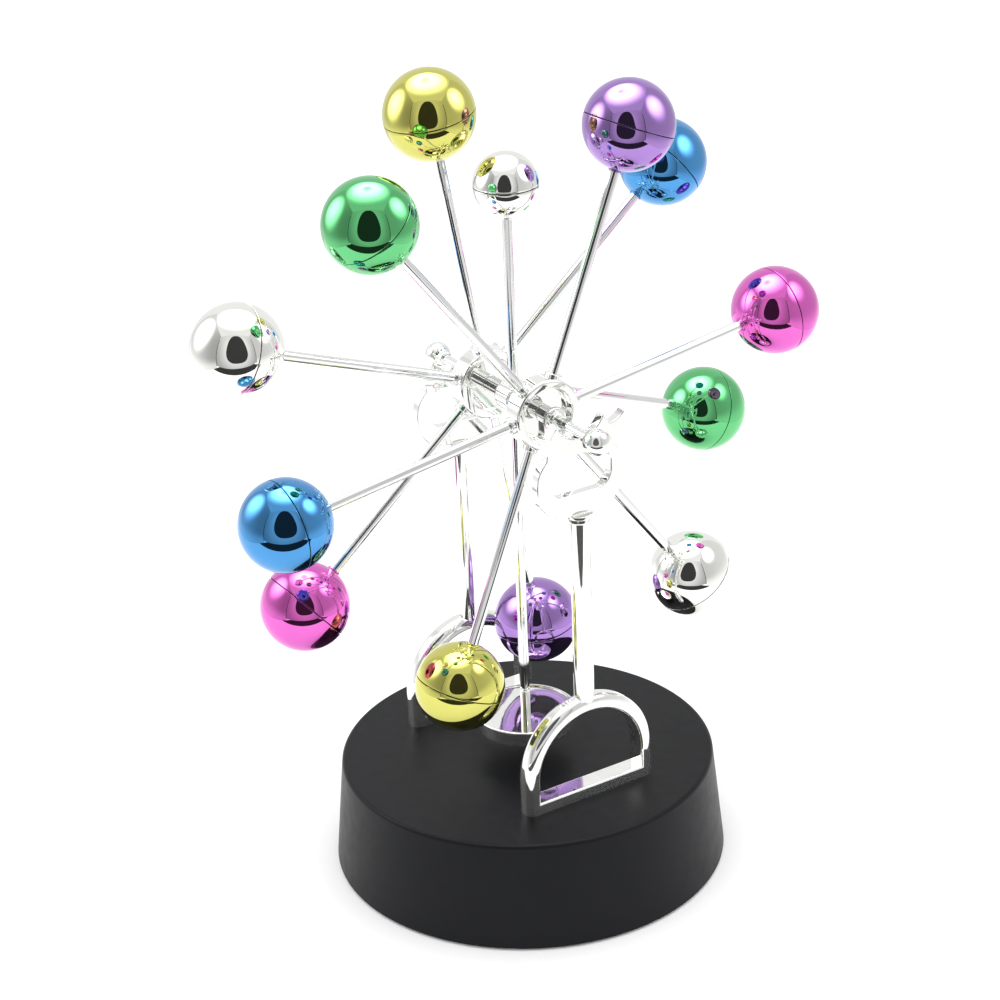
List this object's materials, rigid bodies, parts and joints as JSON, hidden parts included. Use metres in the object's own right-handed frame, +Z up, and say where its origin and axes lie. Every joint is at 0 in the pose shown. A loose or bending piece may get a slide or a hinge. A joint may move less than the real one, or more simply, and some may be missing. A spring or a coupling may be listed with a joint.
{
  "type": "kinetic desk toy",
  "caption": "Magnetic kinetic desk toy: a rocking pendulum on a shaft between two chrome uprights, a free-spinning wheel of coloured mirror balls on each side, on a round battery base.",
  "frame": {"origin": "on the standing surface under the centre of the round base", "axes": "+Z up, shaft and wheel axles along Y, front upright at -Y, +X to the right seen from the front"},
  "size_m": [0.2292, 0.143, 0.2921],
  "materials": {
    "base_plastic": "fine satin moulded texture",
    "cover_plastic": "fine matt moulded texture",
    "screw_steel": "plain zinc plated",
    "pad_rubber": "matt",
    "bobbin_plastic": "moulded",
    "copper": "enamelled wire winding",
    "iron": "bare",
    "board": "solder-masked board",
    "cell_sleeve": "printed sleeve left plain",
    "contact_plating": "nickel plated",
    "chrome": "bright mirror plating",
    "polished_steel": "bright drawn and polished",
    "magnet": "nickel plated disc",
    "ball_silver": "vacuum-plated mirror, silver",
    "ball_purple": "vacuum-plated mirror, purple tint",
    "ball_magenta": "vacuum-plated mirror, magenta tint",
    "ball_yellow": "vacuum-plated mirror, yellow tint",
    "ball_blue": "vacuum-plated mirror, blue tint",
    "ball_green": "vacuum-plated mirror, green tint"
  },
  "bodies": {
    "stand": {"base_housing": "base_plastic", "bottom_cover": "cover_plastic", "battery_door": "cover_plastic", "cover_screws": "screw_steel", "door_screw": "screw_steel", "foot_screws": "screw_steel", "rubber_feet": "pad_rubber", "coil_bobbin": "bobbin_plastic", "drive_coil": "copper", "coil_core": "iron", "circuit_board": "board", "batteries": "cell_sleeve", "battery_contacts": "contact_plating", "front_foot": "chrome", "rear_foot": "chrome", "front_stem": "chrome", "rear_stem": "chrome", "front_bracket": "chrome", "rear_bracket": "chrome"},
    "pendulum": {"shaft": "polished_steel", "spacers": "chrome", "pendulum_block": "chrome", "upper_rod": "polished_steel", "lower_rod": "polished_steel", "magnet_cup": "chrome", "pendulum_magnet": "magnet", "top_ball_upper": "ball_silver", "top_ball_lower": "ball_silver", "front_end_ball": "chrome", "rear_end_ball": "chrome", "front_collar": "chrome", "rear_collar": "chrome"},
    "front_wheel": {"front_hub": "chrome", "front_arms": "polished_steel", "front_purple_ball_outer": "ball_purple", "front_purple_ball_inner": "ball_purple", "front_magenta_ball_outer": "ball_magenta", "front_magenta_ball_inner": "ball_magenta", "front_silver_ball_outer": "ball_silver", "front_silver_ball_inner": "ball_silver", "front_yellow_ball_outer": "ball_yellow", "front_yellow_ball_inner": "ball_yellow", "front_blue_ball_outer": "ball_blue", "front_blue_ball_inner": "ball_blue", "front_green_ball_outer": "ball_green", "front_green_ball_inner": "ball_green"},
    "rear_wheel": {"rear_hub": "chrome", "rear_arms": "polished_steel", "rear_purple_ball_outer": "ball_purple", "rear_purple_ball_inner": "ball_purple", "rear_magenta_ball_outer": "ball_magenta", "rear_magenta_ball_inner": "ball_magenta", "rear_silver_ball_outer": "ball_silver", "rear_silver_ball_inner": "ball_silver", "rear_yellow_ball_outer": "ball_yellow", "rear_yellow_ball_inner": "ball_yellow", "rear_blue_ball_outer": "ball_blue", "rear_blue_ball_inner": "ball_blue", "rear_green_ball_outer": "ball_green", "rear_green_ball_inner": "ball_green"}
  },
  "joints": [
    {"name": "pendulum_swing", "type": "hinge", "parent": "stand", "child": "pendulum", "pos_m": [0, 0, 0.178], "axis": [0, 1, 0], "range_deg": [-35, 35]},
    {"name": "front_wheel_spin", "type": "hinge", "parent": "pendulum", "child": "front_wheel", "pos_m": [0, -0.0178, 0.178], "axis": [0, 1, 0], "continuous": true},
    {"name": "rear_wheel_spin", "type": "hinge", "parent": "pendulum", "child": "rear_wheel", "pos_m": [0, 0.0178, 0.178], "axis": [0, 1, 0], "continuous": true}
  ]
}
